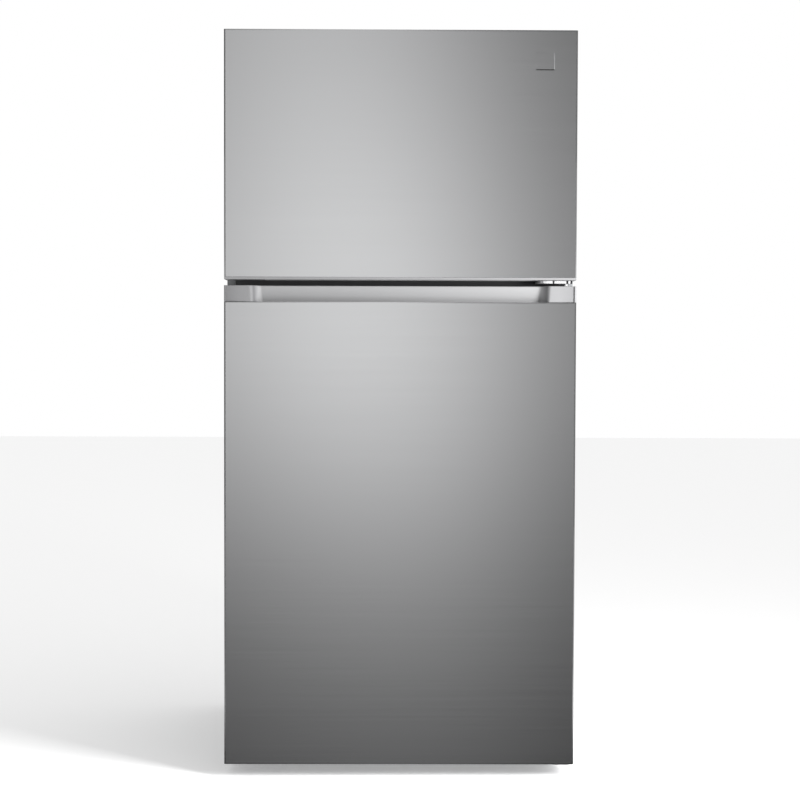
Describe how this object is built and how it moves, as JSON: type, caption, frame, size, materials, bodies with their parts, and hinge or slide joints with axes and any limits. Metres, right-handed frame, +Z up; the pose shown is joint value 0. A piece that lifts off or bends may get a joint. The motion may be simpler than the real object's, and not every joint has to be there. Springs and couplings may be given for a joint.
{
  "type": "top freezer refrigerator",
  "caption": "Free-standing refrigerator with the freezer on top: brushed steel doors hinged on the right, a full-width pocket handle, glass shelves, crispers and door bins.",
  "frame": {"origin": "on the floor, at the centre of the object's outline seen from above", "axes": "+Z up, the doors face -Y, +X to the right of someone facing the doors"},
  "size_m": [0.832, 0.81, 1.77],
  "materials": {
    "stainless": "horizontally brushed, clear coated",
    "satin_trim": "satin metallic",
    "grey_paint": "textured grey paint",
    "dark_paint": "matt dark paint",
    "galvanised": "galvanised sheet",
    "foam": "rigid foam skin",
    "white_plastic": "satin white liner",
    "grey_plastic": "satin grey",
    "clear_plastic": "clear moulded",
    "shelf_glass": "tempered, polished edges",
    "seal": "soft grey vinyl",
    "black_plastic": "fine texture",
    "black_enamel": "gloss enamel",
    "copper": "copper tube",
    "bare_aluminium": "mill finish",
    "plated": "bright plated"
  },
  "bodies": {
    "cabinet": {"cabinet_shell": "grey_paint", "cabinet_back": "galvanised", "foam_insulation": "foam", "freezer_liner": "white_plastic", "fridge_liner": "white_plastic", "divider_rail": "dark_paint", "base_frame": "galvanised", "compressor": "black_enamel", "condenser_coil": "copper", "condenser_fan_motor": "black_plastic", "machine_cover": "galvanised", "cord_inlet": "black_plastic", "evaporator": "bare_aluminium", "evaporator_cover": "white_plastic", "evaporator_fan_motor": "black_plastic", "freezer_shelf": "white_plastic", "control_housing": "white_plastic", "lower_shelf_frame": "white_plastic", "lower_shelf_glass": "shelf_glass", "upper_shelf_frame": "white_plastic", "upper_shelf_glass": "shelf_glass", "crisper_cover_frame": "white_plastic", "crisper_cover_glass": "shelf_glass", "top_hinge": "plated", "top_hinge_cover": "grey_plastic", "middle_hinge": "plated", "bottom_hinge": "plated"},
    "freezer_door": {"freezer_door_skin": "stainless", "freezer_door_top_cap": "grey_plastic", "freezer_door_bottom_cap": "satin_trim", "freezer_door_foam": "foam", "freezer_door_liner": "white_plastic", "freezer_door_gasket": "seal", "freezer_door_lower_bin": "clear_plastic", "freezer_door_upper_bin": "clear_plastic", "badge": "stainless"},
    "fridge_door": {"fridge_door_skin": "stainless", "fridge_door_bottom_cap": "grey_plastic", "fridge_door_foam": "foam", "fridge_door_liner": "white_plastic", "fridge_door_gasket": "seal", "fridge_door_lower_bin": "clear_plastic", "fridge_door_middle_bin": "clear_plastic", "handle_trim": "satin_trim", "dairy_bin": "clear_plastic"},
    "condenser_fan": {"condenser_fan": "grey_plastic"},
    "evaporator_fan": {"evaporator_fan": "grey_plastic"},
    "fridge_dial": {"fridge_dial": "white_plastic"},
    "freezer_dial": {"freezer_dial": "white_plastic"},
    "left_crisper": {"left_crisper": "clear_plastic"},
    "right_crisper": {"right_crisper": "clear_plastic"},
    "left_humidity_slider": {"left_humidity_slider": "grey_plastic"},
    "right_humidity_slider": {"right_humidity_slider": "grey_plastic"},
    "freezer_door_switch": {"freezer_door_switch": "white_plastic"},
    "fridge_door_switch": {"fridge_door_switch": "white_plastic"},
    "left_front_foot": {"left_front_foot": "black_plastic"},
    "right_front_foot": {"right_front_foot": "black_plastic"},
    "left_rear_roller": {"left_rear_roller": "black_plastic"},
    "right_rear_roller": {"right_rear_roller": "black_plastic"},
    "dairy_cover": {"dairy_cover": "clear_plastic"}
  },
  "joints": [
    {"name": "freezer_door_hinge", "type": "hinge", "parent": "cabinet", "child": "freezer_door", "pos_m": [0.394, -0.3782, 1.184], "axis": [0, 0, 1], "range_deg": [0, 125]},
    {"name": "fridge_door_hinge", "type": "hinge", "parent": "cabinet", "child": "fridge_door", "pos_m": [0.394, -0.3782, 0.032], "axis": [0, 0, 1], "range_deg": [0, 125]},
    {"name": "dairy_cover_hinge", "type": "hinge", "parent": "fridge_door", "child": "dairy_cover", "pos_m": [0, -0.2462, 1.082], "axis": [1, 0, 0], "range_deg": [0, 80]},
    {"name": "left_crisper_slide", "type": "slide", "parent": "cabinet", "child": "left_crisper", "axis": [0, -1, 0], "range_m": [0, 0.24]},
    {"name": "right_crisper_slide", "type": "slide", "parent": "cabinet", "child": "right_crisper", "axis": [0, -1, 0], "range_m": [0, 0.24]},
    {"name": "left_humidity_slide", "type": "slide", "parent": "cabinet", "child": "left_humidity_slider", "axis": [1, 0, 0], "range_m": [-0.02, 0.02]},
    {"name": "right_humidity_slide", "type": "slide", "parent": "cabinet", "child": "right_humidity_slider", "axis": [1, 0, 0], "range_m": [-0.02, 0.02]},
    {"name": "fridge_dial_turn", "type": "hinge", "parent": "cabinet", "child": "fridge_dial", "pos_m": [0.1, -0.1215, 1.114], "axis": [0, -1, 0], "range_deg": [-135, 135]},
    {"name": "freezer_dial_turn", "type": "hinge", "parent": "cabinet", "child": "freezer_dial", "pos_m": [0.25, 0.2487, 1.643], "axis": [0, -1, 0], "range_deg": [-135, 135]},
    {"name": "freezer_switch_travel", "type": "slide", "parent": "cabinet", "child": "freezer_door_switch", "axis": [0, -1, 0], "range_m": [0, 0.006]},
    {"name": "fridge_switch_travel", "type": "slide", "parent": "cabinet", "child": "fridge_door_switch", "axis": [0, -1, 0], "range_m": [0, 0.006]},
    {"name": "condenser_fan_spin", "type": "hinge", "parent": "cabinet", "child": "condenser_fan", "pos_m": [-0.02, 0.272, 0.15], "axis": [1, 0, 0], "continuous": true},
    {"name": "evaporator_fan_spin", "type": "hinge", "parent": "cabinet", "child": "evaporator_fan", "pos_m": [0, 0.267, 1.51], "axis": [0, 1, 0], "continuous": true},
    {"name": "left_foot_turn", "type": "hinge", "parent": "cabinet", "child": "left_front_foot", "pos_m": [-0.34, -0.2512, 0], "axis": [0, 0, 1], "continuous": true},
    {"name": "right_foot_turn", "type": "hinge", "parent": "cabinet", "child": "right_front_foot", "pos_m": [0.34, -0.2512, 0], "axis": [0, 0, 1], "continuous": true},
    {"name": "left_roller_spin", "type": "hinge", "parent": "cabinet", "child": "left_rear_roller", "pos_m": [-0.346, 0.332, 0.018], "axis": [1, 0, 0], "continuous": true},
    {"name": "right_roller_spin", "type": "hinge", "parent": "cabinet", "child": "right_rear_roller", "pos_m": [0.346, 0.332, 0.018], "axis": [1, 0, 0], "continuous": true}
  ],
  "couplings": [
    {"joint": "left_crisper_slide", "follows": "fridge_door_hinge", "m_per_rad": 0.11},
    {"joint": "right_crisper_slide", "follows": "fridge_door_hinge", "m_per_rad": 0.11},
    {"joint": "fridge_switch_travel", "follows": "fridge_door_hinge", "m_per_rad": 0.00275},
    {"joint": "freezer_switch_travel", "follows": "freezer_door_hinge", "m_per_rad": 0.00275}
  ]
}
